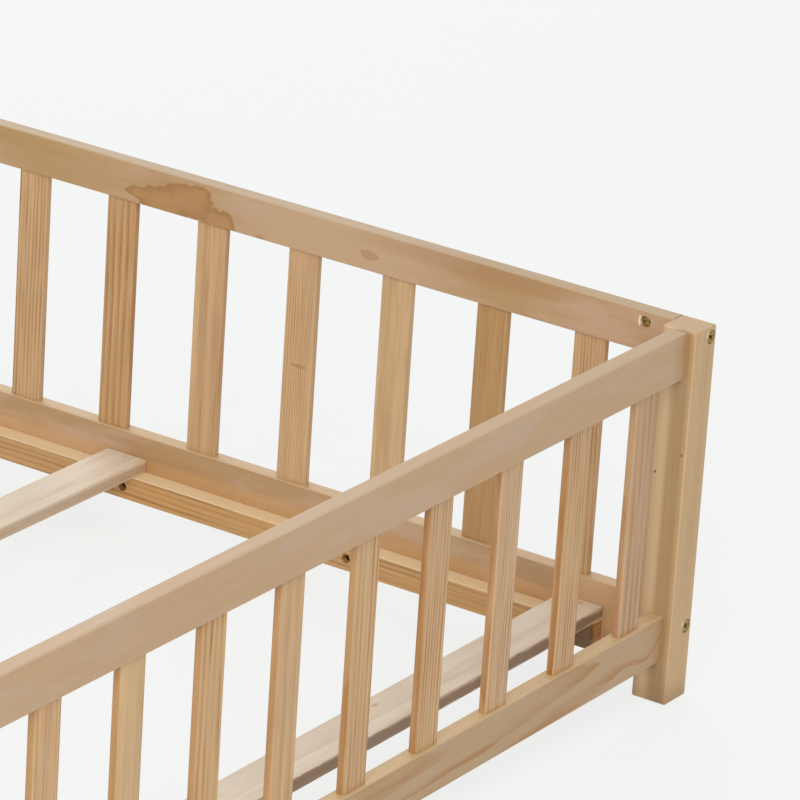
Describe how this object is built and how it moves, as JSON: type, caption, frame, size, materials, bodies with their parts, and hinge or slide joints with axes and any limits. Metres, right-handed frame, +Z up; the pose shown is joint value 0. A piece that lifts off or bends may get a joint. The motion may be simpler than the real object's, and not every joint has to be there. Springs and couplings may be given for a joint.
{
  "type": "toddler floor bed",
  "caption": "Low wooden floor bed with slatted fence sides, square corner posts, ledgers with base slats and a way in at the front.",
  "frame": {"origin": "on the floor under the middle of the bed", "axes": "+X along the bed's length to its right end, +Y across to its back side, +Z up; the way in is at the front, -Y"},
  "size_m": [2.0014, 1.45, 0.355],
  "materials": {
    "pine": "planed and sanded pine under thin clear matt lacquer",
    "sawn_pine": "bare pale planed pine",
    "beech": "bare turned beech",
    "antique_brass": "antique brass plating, satin",
    "zinc_steel": "dull zinc plating"
  },
  "bodies": {
    "root": {"back_ledger": "pine", "back_low_rail": "pine", "back_slat_01": "pine", "back_slat_02": "pine", "back_slat_03": "pine", "back_slat_04": "pine", "back_slat_05": "pine", "back_slat_06": "pine", "back_slat_07": "pine", "back_slat_08": "pine", "back_slat_09": "pine", "back_slat_10": "pine", "back_slat_11": "pine", "back_slat_12": "pine", "back_slat_13": "pine", "back_slat_14": "pine", "back_slat_15": "pine", "back_slat_16": "pine", "back_slat_17": "pine", "back_slat_18": "pine", "back_top_rail": "pine", "barrel_nuts": "antique_brass", "base_slat_1": "sawn_pine", "base_slat_2": "sawn_pine", "base_slat_3": "sawn_pine", "base_slat_4": "sawn_pine", "base_slat_5": "sawn_pine", "bolts": "antique_brass", "centre_bearer": "pine", "corner_post_back_left": "pine", "corner_post_back_right": "pine", "corner_post_front_left": "pine", "corner_post_front_right": "pine", "dowels": "beech", "front_ledger": "pine", "front_low_rail": "pine", "front_slats": "pine", "front_top_rail_left": "pine", "front_top_rail_right": "pine", "gate_stiles": "pine", "ledger_screws": "zinc_steel", "left_end_low_rail": "pine", "left_end_slats": "pine", "left_end_top_rail": "pine", "right_end_low_rail": "pine", "right_end_slat_01": "pine", "right_end_slat_02": "pine", "right_end_slat_03": "pine", "right_end_slat_04": "pine", "right_end_slat_05": "pine", "right_end_slat_06": "pine", "right_end_slat_07": "pine", "right_end_slat_08": "pine", "right_end_slat_09": "pine", "right_end_slat_10": "pine", "right_end_slat_11": "pine", "right_end_slat_12": "pine", "right_end_slat_13": "pine", "right_end_top_rail": "pine", "slat_brads": "zinc_steel"}
  },
  "joints": []
}
